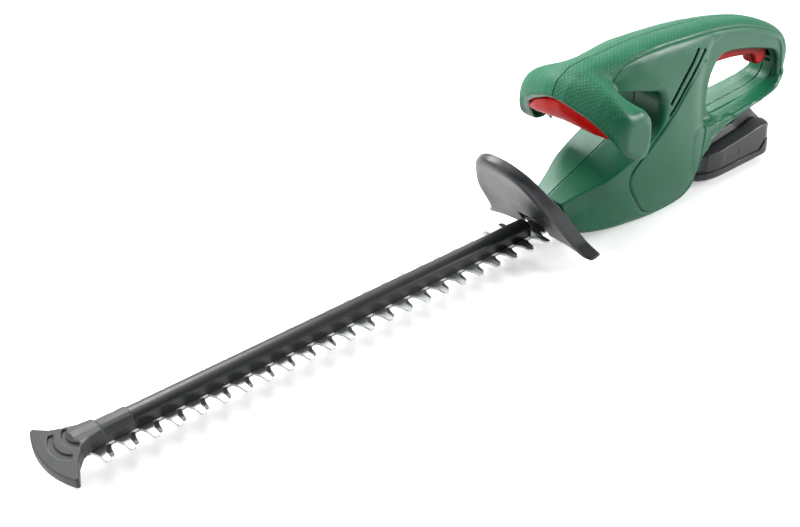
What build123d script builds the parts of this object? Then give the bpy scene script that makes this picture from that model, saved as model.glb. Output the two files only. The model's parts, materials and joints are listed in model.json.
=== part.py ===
from build123d import *
import math
import os

os.makedirs("parts", exist_ok=True)

# Cordless hedge trimmer.  Lengths in mm.
# Working axes: x = 0 at the middle tooth, +X towards the rear handle, y = 0 on the
# parting plane, z = 0 on the upper face of the comb blade.  DX and DZ move the whole
# model so that its origin is the middle of the bottom of its bounding box.

# ---------------------------------------------------------------- driving dimensions
PITCH = 19.5            # tooth pitch
N_TEETH = 23            # teeth on each side
COMB_T = 2.0            # comb plate thickness
CUT_T = 2.0             # cutter plate thickness
BLADE_GAP = 0.1         # running gap between the two plates
NEAR_OFF = 1.7          # tooth phase of the -Y side
FAR_OFF = -8.05         # tooth phase of the +Y side
COMB_ROOT = 8.8         # half width of the comb plate at the tooth roots
COMB_TIP = 26.1         # reach of the comb teeth from the centre line
CUT_ROOT = 8.0
CUT_TIP = 19.8
CUT_REST = 5.4          # cutter tooth ahead of comb tooth at rest
STROKE = 16.0           # cutter stroke
CRANK_R = STROKE / 2
CUT_MID = PITCH / 2     # cutter offset at mid stroke
REST_FROM_MID = CUT_REST - CUT_MID
WALL = 3.0              # housing wall
GEAR_X = 335.0          # gear axis
GEAR_N, PINION_N, MODULE, PRESSURE = 48, 12, 1.0, 25.0
CENTRE = MODULE * (GEAR_N + PINION_N) / 2
MOTOR_X = GEAR_X + CENTRE
BACKLASH = 0.18
BATT_X0, BATT_X1, BATT_HALF = 405.5, 512.0, 38.0
BATT_BOTTOM = -15.0
DX, DZ = -154.5, 20.0

# ---------------------------------------------------------------- helpers
def V(*p):
    return Vector(*p)

def face3(pts):
    return Face(Wire.make_polygon([V(*p) for p in pts], close=True))

def ext_y(pts, y0, y1):
    return Solid.extrude(face3([(x, y0, z) for x, z in pts]), V(0, y1 - y0, 0))

def ext_z(pts, z0, z1):
    return Solid.extrude(face3([(x, y, z0) for x, y in pts]), V(0, 0, z1 - z0))

def ext_x(pts, x0, x1):
    return Solid.extrude(face3([(x0, y, z) for y, z in pts]), V(x1 - x0, 0, 0))

def box(x0, x1, y0, y1, z0, z1):
    return Solid.make_box(x1 - x0, y1 - y0, z1 - z0, Plane(origin=(x0, y0, z0)))

def cyl(p, r, h, d=(0, 0, 1)):
    return Solid.make_cylinder(r, h, Plane(origin=p, z_dir=d))

def ring(p, r_in, r_out, h, d=(0, 0, 1)):
    return cyl(p, r_out, h, d) - cyl(p, r_in, h, d)

def loft(sections):
    return Solid.make_loft([Wire.make_polygon([V(*p) for p in s], close=True) for s in sections], ruled=True)

def inset(pts, d):
    """Mitred inward offset of a closed 2-D polygon (negative d grows it)."""
    n = len(pts)
    a = sum(pts[i - 1][0] * pts[i][1] - pts[i][0] * pts[i - 1][1] for i in range(n))
    s = 1 if a > 0 else -1
    out = []
    for i in range(n):
        p0, p1, p2 = pts[i - 1], pts[i], pts[(i + 1) % n]
        u = (p1[0] - p0[0], p1[1] - p0[1]); v = (p2[0] - p1[0], p2[1] - p1[1])
        lu, lv = math.hypot(*u), math.hypot(*v)
        n1 = (-u[1] / lu * s, u[0] / lu * s); n2 = (-v[1] / lv * s, v[0] / lv * s)
        k = 1 + n1[0] * n2[0] + n1[1] * n2[1]
        out.append((p1[0] + d * (n1[0] + n2[0]) / k, p1[1] + d * (n1[1] + n2[1]) / k))
    return out

def mirror_pts(half):
    """Half outline with y > 0 -> closed outline symmetric about y = 0 (first coordinate is y)."""
    return half + [(-y, z) for y, z in reversed(half)]

def coil(x, y, z0, z1, r, wire_r, turns):
    """Compression spring as a helix of round wire."""
    helix = Edge.make_helix((z1 - z0 - 2 * wire_r) / turns, z1 - z0 - 2 * wire_r, r, center=(x, y, z0 + wire_r))
    start = helix.position_at(0); tan = helix.tangent_at(0)
    prof = Face(Wire.make_circle(wire_r, Plane(origin=start, z_dir=tan)))
    return Solid.sweep(prof, path=helix)

def one(shape):
    """The solids of a shape."""
    return list(shape.solids()) if not isinstance(shape, (list, tuple)) else [s for q in shape for s in q.solids()]

MOVE = Location((DX, 0, DZ))
NODES = {}

def put(name, shape):
    NODES[name] = one(shape)

# ---------------------------------------------------------------- blades
def tooth(xc, side, root, tip, base, mid, end, rounded):
    pts = [(xc - base, root), (xc - mid, root + 0.42 * (tip - root)), (xc - end, tip - end if rounded else tip - 0.8)]
    if rounded:
        pts += [(xc + end * math.sin(a), tip - end + end * math.cos(a)) for a in [math.radians(t) for t in range(-75, 76, 15)]]
    else:
        pts += [(xc - end + 0.5, tip), (xc + end - 0.5, tip)]
    pts += [(xc + end, tip - end if rounded else tip - 0.8), (xc + mid, root + 0.42 * (tip - root)), (xc + base, root)]
    return [(x, y * side) for x, y in pts]

def blade_outline(x_front, x_rear, root, tip, base, mid, end, shift, rounded, rear_half, count):
    near, far = [], []
    for k in range(count):
        near += tooth((k - 11) * PITCH + NEAR_OFF + shift, -1, root, tip, base, mid, end, rounded)
        far += tooth((k - 11) * PITCH + FAR_OFF + shift, 1, root, tip, base, mid, end, rounded)
    return [(x_front, -root + 2), (x_front + 2, -root)] + near + \
        [(near[-1][0] + 1.5, -rear_half), (x_rear, -rear_half), (x_rear, rear_half), (near[-1][0] + 1.5, rear_half), (near[-1][0] + 1.0, root)] + far[::-1] + \
        [(x_front + 2, root), (x_front, root - 2)]

SCREW_X = [-165.0, -97.5, -30.0, 37.5, 105.0, 172.5]
BAR_SCREW_R, BUSH_R = 2.0, 3.1
COMB_FRONT, COMB_REAR = -232.0, 300.0
comb = ext_z(blade_outline(COMB_FRONT, COMB_REAR, COMB_ROOT, COMB_TIP, 6.3, 3.0, 2.3, 0.0, True, 12.0, N_TEETH), -COMB_T, 0.0)
TIP_SCREW_X = -200.0
for x in SCREW_X + [TIP_SCREW_X]:
    comb -= cyl((x, 0, -COMB_T), BAR_SCREW_R, COMB_T)
NECK_X = [248.0, 280.0]      # comb to bracket screws
for x in NECK_X:
    comb -= cyl((x, 0, -COMB_T), 2.5, COMB_T)
put("comb_blade", comb)

CUT_Z1 = -COMB_T - BLADE_GAP
CUT_Z0 = CUT_Z1 - CUT_T
YOKE_X = GEAR_X + REST_FROM_MID
WIN_L, WIN_W = 21.5, 13.8
cut = ext_z(blade_outline(-221.0, YOKE_X - 22, CUT_ROOT, CUT_TIP, 5.6, 3.2, 2.0, CUT_REST, False, 8.0, N_TEETH - 1), CUT_Z0, CUT_Z1)
cut += box(YOKE_X - 26, YOKE_X + 26, -18.3, 18.3, CUT_Z0, CUT_Z1)
cut -= box(YOKE_X - WIN_L, YOKE_X + WIN_L, -WIN_W, WIN_W, CUT_Z0, CUT_Z1)
def slot(x, half_l, half_w, z0, z1):
    c = half_l - half_w
    return box(x - c, x + c, -half_w, half_w, z0, z1) + cyl((x - c, 0, z0), half_w, z1 - z0) + cyl((x + c, 0, z0), half_w, z1 - z0)
for x in SCREW_X:
    cut -= slot(x + REST_FROM_MID, STROKE / 2 + BUSH_R + 0.25, BUSH_R + 0.15, CUT_Z0, CUT_Z1)
cut -= slot(TIP_SCREW_X + REST_FROM_MID, STROKE / 2 + 3.4 + 0.25, 3.5, CUT_Z0, CUT_Z1)
for x in NECK_X:
    cut -= slot(x + REST_FROM_MID, STROKE / 2 + 5.0, 4.6, CUT_Z0, CUT_Z1)
put("cutter_blade", cut)

# screws and bushes that hold the cutter against the comb
put("blade_bushes", [ring((x, 0, CUT_Z0 - 0.1), BAR_SCREW_R, BUSH_R, CUT_T + BLADE_GAP + 0.1) for x in SCREW_X])
put("blade_screws", [cyl((x, 0, CUT_Z0 - 0.1), BAR_SCREW_R, 11.0) + cyl((x, 0, CUT_Z0 - 2.3), 5.4, 2.2) - cyl((x, 0, CUT_Z0 - 2.3), 1.5, 1.4) for x in SCREW_X])
put("tip_screw", cyl((TIP_SCREW_X, 0, -COMB_T), BAR_SCREW_R, 9.0) + cyl((TIP_SCREW_X, 0, -COMB_T - 1.6), 3.3, 1.6))

# ---------------------------------------------------------------- blade cover bar and tip guard
BAR_HALF = 8.2
bar_sec = mirror_pts([(0.0, 12.6), (3.0, 12.3), (5.6, 11.2), (7.4, 9.6), (8.0, 8.5), (BAR_HALF, 8.2), (BAR_HALF, 0.1)])
bar_sec = bar_sec[1:]
bar = ext_x(bar_sec, -181.5, 212.0)
bar -= box(-176.0, 206.0, -5.2, 5.2, 0.1, 3.2)
for x in SCREW_X:
    bar += (cyl((x, 0, 0.1), 5.0, 3.2) & ext_x(bar_sec, -181.5, 212.0))
    bar -= cyl((x, 0, 0.1), BAR_SCREW_R, 6.8)
put("blade_cover", bar)

tip_sec = mirror_pts([(0.0, 13.6), (3.4, 13.2), (6.4, 11.9), (8.4, 9.6), (9.2, 7.4), (9.2, 0.1)])[1:]
sleeve = ext_x(tip_sec, -224.0, -181.5)
FAN_R = 84.0
fan_plan = [(-212, -9.2), (-222, -12.0), (-232, -22.0), (-239.0, -35.5), (-241.2, -37.0)]
for i in range(-7, 8):
    y = 35.8 * i / 7
    fan_plan.append((-251.0 + FAN_R - math.sqrt(FAN_R ** 2 - y * y), y))
fan_plan += [(-241.2, 37.0), (-239.0, 35.5), (-232, 22.0), (-222, 12.0), (-212, 9.2)]
fan = ext_z(fan_plan, -8, 16) & ext_y([(-252, 3.4), (-249, 4.6), (-224, 13.4), (-208, 13.4), (-208, 0.1), (-233, 0.1), (-238, -2.6), (-252, -2.8)], -40, 40)
tip = sleeve + fan
tip -= cyl((TIP_SCREW_X, 0, 0.1), BAR_SCREW_R, 7.0)
for r0, r1, a1 in ((13.0, 16.5, 50), (22.5, 26.5, 41)):
    # two shallow curved recesses in the upper face of the paddle
    arc = [(-216.0 - r1 * math.cos(math.radians(a)), r1 * math.sin(math.radians(a))) for a in range(-a1, a1 + 1, 6)]
    arc += [(-216.0 - r0 * math.cos(math.radians(a)), r0 * math.sin(math.radians(a))) for a in range(a1, -a1 - 1, -6)]
    tip -= ext_z(arc, -3, 20) & ext_y([(-255, 1.0), (-249, 3.2), (-224, 12.0), (-208, 12.0), (-208, 22), (-255, 22)], -40, 40)
put("tip_guard", tip)

# ---------------------------------------------------------------- hand guard
# leaning shield: outline (half width, height above the comb face), front face on the plane x = GX0 - GK * z
GX0, GK = 220.0, 0.64
G_OUT = [(0.0, 80.5), (9.0, 79.6), (18.0, 76.4), (27.0, 70.8), (33.0, 63.0), (38.0, 54.5), (41.5, 46.0), (43.8, 38.0), (45.4, 28.9), (46.8, 18.5), (49.5, 6.0), (55.0, -6.0), (60.0, -13.6)]
GN = math.hypot(1, GK)
def guard_pt(y, z, back=0.0):
    return (GX0 - GK * z + back, y, z)
def guard_wire(pts, back=0.0):
    full = [(y, z) for y, z in pts] + [(-y, z) for y, z in reversed(pts) if y > 0]
    return face3([guard_pt(y, z, back) for y, z in full])
g_in = [(0.0, 77.0), (8.2, 76.2), (16.4, 73.2), (24.4, 68.2), (30.0, 61.2), (34.8, 53.2), (38.2, 45.2), (40.4, 37.6), (42.0, 28.6), (43.4, 18.0), (46.0, 5.4), (51.2, -6.0), (54.6, -13.6)]
DISH = 4.5                     # the shield's face sits this far behind its rim
plate = Solid.extrude(guard_wire(G_OUT, DISH), V(3.2, 0, 0))
rim = Solid.extrude(guard_wire(G_OUT), V(15.0, 0, 0)) - Solid.extrude(guard_wire(g_in), V(16.0, 0, 0))
guard = plate + rim
guard -= box(190, 260, -13.0, 13.0, -7.0, 14.0) + box(190, 260, -16.0, 16.0, -7.0, 2.5)      # blade passage
GS = [(-24.0, 22.0), (24.0, 22.0), (0.0, 32.0)]           # guard screws (y, z)
for y, z in GS:
    guard -= cyl((GX0 - GK * z + DISH + 1.6, y, z), 1.8, 8, (1, 0, 0))
put("hand_guard", guard)

# bracket between the guard and the gearcase: an upright flange and a flat arm over the comb neck
BX0 = GX0 + DISH
brk = ext_y([(BX0 - GK * 36 + 3.3, 36.0), (BX0 - GK * 36 + 11.5, 36.0), (BX0 + 11.5, 0.2), (BX0 + 3.3 - GK * 0.2, 0.2)], -29.0, 29.0)
brk -= box(190, 260, -40, -29.0 + 4, 28.0, 40) + box(190, 260, 25.0, 40, 28.0, 40)
brk += box(BX0 + 6.0, 291.0, -12.0, 12.0, 0.2, 6.2)
brk -= box(190, BX0 + 14.0, -11.5, 11.5, 6.2, 12.0)
for y, z in GS:
    brk -= cyl((BX0 - GK * z - 1, y, z), 1.8, 20, (1, 0, 0))
for x in NECK_X:
    brk -= cyl((x, 0, 0.2), 2.5, 6.0)
put("guard_bracket", brk)
put("guard_screws", [cyl((BX0 - GK * z + 1.6, y, z), 1.8, 13.0, (1, 0, 0)) + cyl((BX0 - GK * z + 14.6, y, z), 3.4, 2.2, (1, 0, 0)) for y, z in GS])
put("neck_screws", [cyl((x, 0, CUT_Z0 - 1.0), 2.5, 10.6) + cyl((x, 0, CUT_Z0 - 3.2), 4.4, 2.2) + cyl((x, 0, CUT_Z0 - 1.0), 3.6, -CUT_Z0 + 1.0 - COMB_T - 0.02) for x in NECK_X])

# battery plan outline, also used for its clearance in the housing
bx0, bx1, bh = BATT_X0, BATT_X1, BATT_HALF
B_PLAN = [(bx0, -20), (bx0 + 1.5, -28), (bx0 + 6, -34), (bx0 + 12, -bh), (bx1 - 8, -bh), (bx1 - 2.5, -bh + 3), (bx1, -bh + 9),
          (bx1, bh - 9), (bx1 - 2.5, bh - 3), (bx1 - 8, bh), (bx0 + 12, bh), (bx0 + 6, 34), (bx0 + 1.5, 28), (bx0, 20)]

# ---------------------------------------------------------------- housing
POD_SIDE = [(238, 25), (276, 40.5), (314, 56), (337, 66), (346, 77), (349, 90), (346, 102), (340, 110), (352, 143), (379, 141.2),
            (406, 139.5), (428, 136.5), (424, 113), (419, 92), (417, 66), (419, 50), (415, 42), (409, 22), (403, 3), (399, -9),
            (388, -16.5), (374, -20), (340, -20), (313, -17), (294, -15), (268, -11.5), (256, -9), (247, -2)]
PLAN_HALF = [(238, 19), (250, 25), (263, 31), (283, 35.5), (300, 38), (320, 39.5), (385, 39.5), (398, 38), (410, 33), (430, 26)]
POD_PLAN = PLAN_HALF + [(x, -y) for x, y in reversed(PLAN_HALF)]
POD_SEC = mirror_pts([(28, -20), (34, -17), (38, -8), (39, 10), (39.5, 40), (38.5, 60), (36, 85), (31, 105), (25, 122), (18, 137), (8, 143.5)])
SPINE = [(262, 137), (289.4, 140.7), (302, 142), (327, 143), (353, 143), (379, 141), (406.5, 139.4), (435, 136), (464, 131), (494, 124),
         (520, 114.5), (541, 104), (553, 93), (559, 80), (560, 68), (556, 57), (546, 49), (532, 43.5), (506, 38), (481, 33), (456, 28.5),
         (430, 24), (404, 20), (395, 34), (395, 98), (345, 105), (300, 111), (262, 113)]
D_HOLE = [(436, 49), (431, 60), (433, 78), (437, 92), (446, 99), (456, 100.5), (484, 95), (509, 88), (527, 81), (532, 74), (532, 62), (526, 52),
          (514, 47), (480, 44), (446, 43)]
HANDLE_SEC = mirror_pts([(10, 8), (17.5, 20), (19, 40), (19, 95), (18, 112), (16, 125), (13, 135), (8, 143.5)])
TAIL_SIDE = [(398, 8), (398, 46), (446, 43), (514, 47), (536, 52), (536, 44.5), (520, 42), (497, 39.5), (472, 33), (448, 29.3), (424, 26.0), (412, 18.5), (406, 10)]
TAIL_PLAN = [(398, 37), (409, 34.5), (420, 33), (448, 28), (472, 26), (497, 24), (525, 21), (536, 19)]
TAIL_PLAN = TAIL_PLAN + [(x, -y) for x, y in reversed(TAIL_PLAN)]

def bail_sec(y, s, inner=False):
    out = [(s[0], y, s[1]), (s[2], y, s[3]), (s[4], y, s[5]), (s[6], y, s[7]), (s[8], y, s[9]), (s[10], y, s[11])]
    if not inner:
        return out
    off = [(3.0, -14.0), (3.2, -0.5), (2.2, -3.4), (-1.2, -3.6), (-3.3, -1.6), (-3.3, -14.0)]
    return [(p[0] + o[0], y, p[2] + o[1]) for p, o in zip(out, off)]
BAIL = [(0, (247, 115, 245.5, 125, 256, 136.5, 285, 141, 303, 131, 303, 110)),
        (22, (249.5, 109, 247.5, 120, 257, 132.5, 286, 137, 304, 125, 304, 101)),
        (42, (254.5, 99.5, 253, 109, 262, 121.5, 288, 119.5, 304, 106, 304.5, 84)),
        (58, (261, 90, 260, 98, 268, 109, 290.5, 112.5, 303.5, 100, 303, 68)),
        (64.5, (272, 80, 270, 88, 276, 99, 290, 106, 300, 96, 298, 67))]
def bail_solid(inner):
    rows = [(-y, s) for y, s in reversed(BAIL[1:])] + BAIL
    if inner:
        rows = [(y, s) for y, s in rows if abs(y) < 60]
        rows = [(y * (60.5 / 58 if abs(y) == 58 else 1), s) for y, s in rows]
    return loft([bail_sec(y, s, inner) for y, s in rows])

pod = ext_y(POD_SIDE, -45, 45) & ext_z(POD_PLAN, -25, 150) & ext_x(POD_SEC, 230, 440)
spine = ext_y(SPINE, -20, 20) & ext_x(HANDLE_SEC, 255, 570)
tail = ext_y(TAIL_SIDE, -40, 40) & ext_z(TAIL_PLAN, 0, 60)
outer = pod + spine + tail + bail_solid(False)
d_cut = ext_y(D_HOLE, -45, 45)

pod_in = ext_y(inset(POD_SIDE, WALL), -45, 45) & ext_z(inset(POD_PLAN, WALL), -25, 150) & ext_x(inset(POD_SEC, WALL), 230, 440)
spine_in = (ext_y(inset(SPINE, WALL), -16.5, 16.5) & ext_x(inset(HANDLE_SEC, WALL), 255, 570)) - ext_y(inset(D_HOLE, -WALL), -45, 45) - box(398, 548, -30, 30, 0, 47.5)
bay = ext_y([(403.2, -30), (403.2, 36.6), (444, 38.6), (500, 42.2), (528, 44.0), (528, 36), (540, 30), (540, -30)], -21.0, 21.0)

TRIG_SLOT = [(440, 84), (440, 113), (464, 114),  (500, 104), (524, 100), (538, 92), (538, 66), (505, 60), (470, 62)]
shell_cut = pod_in + spine_in
shell = outer - d_cut - shell_cut
shell -= bail_solid(True)
shell -= bay
shell -= ext_y(TRIG_SLOT, -8.8, 8.8)
shell -= box(392, 412, -17.6, 17.6, 23.4, 36.0)              # contact window
shell -= box(225, 262, -13.0, 13.0, -12.5, 12.0)             # neck opening at the nose
# slanted vent slots on both sides
for (xa, za, xb, zb) in ((358.7, 85.2, 404.8, 122.4), (356.2, 74.4, 414.5, 119.2)):
    L = math.hypot(xb - xa, zb - za); nx, nz = -(zb - za) / L * 1.6, (xb - xa) / L * 1.6
    quad = [(xa + nx, za + nz), (xb + nx, zb + nz), (xb - nx, zb - nz), (xa - nx, za - nz)]
    shell -= ext_y(quad, -50, -20)
    shell -= ext_y(quad, 20, 50)

# screw bosses: (x, z, half length)
BOSSES = [(272, 14), (268, 28), (394, 2), (399, 88), (357, 92), (316, 127), (432, 124), (548, 80), (545, 58), (386, 130)]
for x, z in BOSSES:
    shell += cyl((x, -40, z), 4.0, 80, (0, 1, 0)) & (outer - d_cut)
PIV = (450.0, 104.5)        # rear trigger pivot (x, z)
for y0 in (9.3, -17.3):
    shell += cyl((PIV[0], y0, PIV[1]), 4.6, 8.0, (0, 1, 0)) & (outer - d_cut)
shell -= cyl((PIV[0], -14.0, PIV[1]), 2.0, 28.0, (0, 1, 0))
shell -= ext_z(inset(B_PLAN, -0.6), -30, 26) & ext_y([(404.9, -30), (404.9, 11.5), (408.5, 18.0), (416, 23.0), (440, 25.4), (470, 28.0), (476, 32.0), (480, 26), (560, 26), (560, -30)], -50, 50)
for x, z in BOSSES:
    shell -= cyl((x, -13.0, z), 1.6, 13.0, (0, 1, 0))
    shell -= cyl((x, 0, z), 1.9, 13.0, (0, 1, 0))
    shell -= cyl((x, 10.0, z), 3.3, 40.0, (0, 1, 0))
left = shell & box(200, 600, -80, 0, -60, 200)
right = shell & box(200, 600, 0, 80, -60, 200)
def biggest(s):
    return sorted(s.solids(), key=lambda q: q.volume)[-1]
HOUSING_L, HOUSING_R = biggest(left), biggest(right)
put("housing_left", HOUSING_L)
put("housing_right", HOUSING_R)
put("housing_screws", [cyl((x, -12.5, z), 1.6, 22.5, (0, 1, 0)) + cyl((x, 10.0, z), 3.0, 2.4, (0, 1, 0)) for x, z in BOSSES])

# ---------------------------------------------------------------- gearcase
GC_X0, GC_X1, GC_Y = 291.0, 386.0, 31.0
low = box(GC_X0, GC_X1, -GC_Y, GC_Y, -11.0, 0.0) - box(GC_X0 + 4, GC_X1 - 5, -26.5, 26.5, -8.5, 0.0)
low -= box(GC_X0 - 1, GC_X0 + 5, -12.2, 12.2, -4.6, 0.0)
up = box(GC_X0, GC_X1, -GC_Y, GC_Y, 0.0, 14.0) - cyl((GEAR_X, 0, 0.0), 26.3, 11.0) - cyl((MOTOR_X, 0, 0.0), 8.5, 11.0)
up -= box(GC_X0 - 1, 301.0, -12.2, 12.2, 0.0, 6.4)
up -= cyl((MOTOR_X, 0, 0.0), 6.6, 14.0)
up -= cyl((GEAR_X, 0, 11.0), 3.0, 3.0)
corner = [(GC_X0 + 5, 28.0), (GC_X1 - 5, 28.0), (GC_X0 + 5, -28.0), (GC_X1 - 5, -28.0)]
for x, y in corner:
    low += cyl((x, y, -8.5), 4.0, 8.5) & box(GC_X0, GC_X1, -GC_Y, GC_Y, -11.0, 0.0)
    low -= cyl((x, y, -11.0), 2.1, 11.0)
    up -= cyl((x, y, 0.0), 2.0, 10.0)
put("gearcase_lower", biggest(low))
put("gearcase_upper", biggest(up))
put("gearcase_screws", [cyl((x, y, -9.5), 2.0, 19.0) + cyl((x, y, -11.0), 2.05, 1.5) for x, y in corner])

# ---------------------------------------------------------------- gears
def gear_points(n, m, pa, backlash, phase):
    """Involute spur gear outline; phase is the angle of one tooth's centre line."""
    pa = math.radians(pa)
    rp, rb, ra, rr = n * m / 2, n * m / 2 * math.cos(pa), n * m / 2 + m, n * m / 2 - 1.25 * m
    inv = lambda a: math.tan(a) - a
    half = math.pi / (2 * n) - backlash / (4 * rp) + inv(pa)
    pts = []
    for k in range(n):
        c = phase + 2 * math.pi * k / n
        flank = []
        r_start = max(rb, rr + 0.02)
        for i in range(6):
            r = r_start + (ra - r_start) * i / 5
            a = math.acos(min(1.0, rb / r))
            flank.append((r, half - inv(a)))
        pts.append((rr, c - math.pi / n * 0.98))
        pts.append((rr, c - flank[0][1] - 0.02 / max(1, n / 20)))
        pts += [(r, c - t) for r, t in flank]
        pts += [(r, c + t) for r, t in reversed(flank)]
        pts.append((rr, c + flank[0][1] + 0.02 / max(1, n / 20)))
    return [(r * math.cos(a), r * math.sin(a)) for r, a in pts]

CRANK_A = math.acos(REST_FROM_MID / CRANK_R)
CX, CY = GEAR_X + CRANK_R * math.cos(CRANK_A), CRANK_R * math.sin(CRANK_A)
gp = [(x + GEAR_X, y) for x, y in gear_points(GEAR_N, MODULE, PRESSURE, BACKLASH, 0.0)]
gear = ext_z(gp, 2.2, 10.2)
gear -= cyl((GEAR_X, 0, 2.2), 4.6, 8.0)
gear -= cyl((CX, CY, 2.2), 2.6, 6.0)
for a in range(0, 360, 60):
    ang = math.radians(a) + CRANK_A + math.radians(30)
    gear -= cyl((GEAR_X + 16.5 * math.cos(ang), 16.5 * math.sin(ang), 2.2), 4.0, 8.0)
put("drive_gear", gear)
put("gear_bush", ring((GEAR_X, 0, 2.2), 3.05, 4.6, 8.0))
put("gear_axle", cyl((GEAR_X, 0, 2.0), 3.0, 12.0) + cyl((GEAR_X, 0, 1.2), 4.2, 0.8))
put("crank_pin", cyl((CX, CY, -6.4), 2.6, 14.6))
put("crank_roller", ring((CX, CY, -5.8), 2.65, 5.0, 5.2))
# pinion: a tooth gap faces the gear's tooth at angle 0
pp = [(x + MOTOR_X, y) for x, y in gear_points(PINION_N, MODULE, PRESSURE, BACKLASH, math.pi + math.pi / PINION_N)]
put("motor_pinion", ext_z(pp, 1.6, 10.8) - cyl((MOTOR_X, 0, 1.6), 2.5, 9.2))

# ---------------------------------------------------------------- motor
put("motor_shaft", cyl((MOTOR_X, 0, 1.2), 2.5, 66.8))
can = ring((MOTOR_X, 0, 14.0), 16.6, 18.0, 46.0) + ring((MOTOR_X, 0, 14.0), 5.5, 16.6, 2.0)
put("motor_can", can)
put("motor_magnets", [(ring((MOTOR_X, 0, 20.0), 12.6, 16.6, 34.0) & ext_z([(MOTOR_X, 0), (MOTOR_X + 30 * math.cos(math.radians(t0)), 30 * math.sin(math.radians(t0))), (MOTOR_X + 34 * math.cos(math.radians((t0 + t1) / 2)), 34 * math.sin(math.radians((t0 + t1) / 2))), (MOTOR_X + 30 * math.cos(math.radians(t1)), 30 * math.sin(math.radians(t1)))], 15, 60)) for t0, t1 in ((20, 160), (200, 340))])
put("motor_end_cap", cyl((MOTOR_X, 0, 60.0), 18.0, 6.0) - cyl((MOTOR_X, 0, 60.0), 14.5, 3.0) - cyl((MOTOR_X, 0, 63.0), 5.5, 3.0))
put("motor_bearings", [ring((MOTOR_X, 0, 16.0), 2.55, 5.5, 3.0) + ring((MOTOR_X, 0, 14.0), 2.55, 5.5, 2.0), ring((MOTOR_X, 0, 63.0), 2.55, 5.5, 3.0)])
core = cyl((MOTOR_X, 0, 24.0), 12.0, 26.0)
for k in range(5):
    a = math.radians(72 * k)
    core -= cyl((MOTOR_X + 9.2 * math.cos(a), 9.2 * math.sin(a), 24.0), 1.9, 26.0) + Solid.make_box(6, 1.4, 26.0, Plane(origin=(MOTOR_X + 9.2 * math.cos(a) + 0.7 * math.sin(a), 9.2 * math.sin(a) - 0.7 * math.cos(a), 24.0), x_dir=(math.cos(a), math.sin(a), 0), z_dir=(0, 0, 1)))
core -= cyl((MOTOR_X, 0, 24.0), 2.5, 26.0)
put("rotor_core", biggest(core))
put("rotor_windings", [ring((MOTOR_X, 0, 20.6), 3.2, 10.8, 3.4), ring((MOTOR_X, 0, 50.0), 3.2, 10.8, 3.4)])
put("commutator", ring((MOTOR_X, 0, 54.4), 2.5, 5.6, 5.2))
put("motor_brushes", [box(MOTOR_X - 2.4, MOTOR_X + 2.4, 5.8, 14.0, 55.2, 59.0), box(MOTOR_X - 2.4, MOTOR_X + 2.4, -14.0, -5.8, 55.2, 59.0)])
put("motor_mount_screws", [cyl((MOTOR_X, y, 11.0), 1.5, 5.0) + cyl((MOTOR_X, y, 16.0), 2.6, 1.6) for y in (11.5, -11.5)])
NODES["motor_can"] = one(can - cyl((MOTOR_X, 11.5, 14.0), 1.5, 2.0) - cyl((MOTOR_X, -11.5, 14.0), 1.5, 2.0))
NODES["gearcase_upper"] = one(biggest(up - cyl((MOTOR_X, 11.5, 11.0), 1.5, 3.0) - cyl((MOTOR_X, -11.5, 11.0), 1.5, 3.0)))

# ---------------------------------------------------------------- switches
def quad(y, pts):
    return [(x, y, z) for x, z in pts]
BAR_SECS = [(56, [(268, 87.5), (276, 87), (286, 89), (288, 95.0), (280, 97), (269, 94.0)]),
            (40, [(260, 88), (272, 86.5), (287, 90), (290, 104), (276, 107), (261, 100)]),
            (20, [(256, 88.5), (269, 86.5), (285, 91), (288, 112), (272, 115.5), (257, 109)]),
            (0, [(255, 89), (268, 86.5), (284, 92), (286, 116), (270, 120), (256, 113)])]
front = loft([quad(-y, s) for y, s in BAR_SECS] + [quad(y, s) for y, s in BAR_SECS[::-1][1:]])
for y in (-25, 25):
    front -= cyl((277, y, 108.0), 4.2, 20)
put("front_switch_bar", front)
put("front_bar_springs", [coil(277, y, 108.1, 127.4, 3.1, 0.5, 8) for y in (-25, 25)])
put("front_microswitch", box(290.0, 299.5, -8.0, 8.0, 113.0, 126.0))
put("front_switch_lever", box(288.6, 289.8, -2.5, 2.5, 114.0, 122.0) + box(289.8, 290.0, -2.5, 2.5, 120.0, 122.0))

TRIG = [(444, 109), (445, 91), (450, 88.8), (458, 88.6), (479, 86.4), (511, 80.2), (514, 71), (521, 67.5), (530, 69.5), (533, 77), (530.5, 86), (520, 94), (500, 99), (484, 101.5), (465, 105.0), (457, 110.0)]
trig = ext_y(TRIG, -8.0, 8.0)
trig -= cyl((PIV[0], -10, PIV[1]), 2.05, 20, (0, 1, 0))
trig -= cyl((508, 0, 90.0), 3.6, 20.0)
put("rear_trigger", trig)
put("trigger_pin", cyl((PIV[0], -14.0, PIV[1]), 2.0, 28.0, (0, 1, 0)))
put("trigger_spring", coil(508, 0, 90.1, 113.4, 2.7, 0.45, 8))
put("rear_microswitch", box(466, 488, -5.0, 5.0, 109.5, 119.5))
# ---------------------------------------------------------------- electronics
put("control_board", box(389.5, 391.1, -22, 22, 24, 76))
put("board_parts", [cyl((389.5, -14, 34 + 14 * i), 3.5, 5.5, (-1, 0, 0)) for i in range(2)] + [box(386.5, 389.5, 4, 16, 30, 46), box(385.5, 389.5, -2, 14, 54, 62)])
block = box(396.5, 408.5, -17.0, 17.0, 24.0, 35.6)
for y in (-9.0, 0.0, 9.0):
    block -= box(402.5, 408.5, y - 0.4, y + 0.4, 25.8, 33.8)
put("contact_block", block)
put("contact_blades", [box(402.5, 417.0, y - 0.4, y + 0.4, 25.8, 33.8) for y in (-9.0, 0.0, 9.0)])

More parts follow.
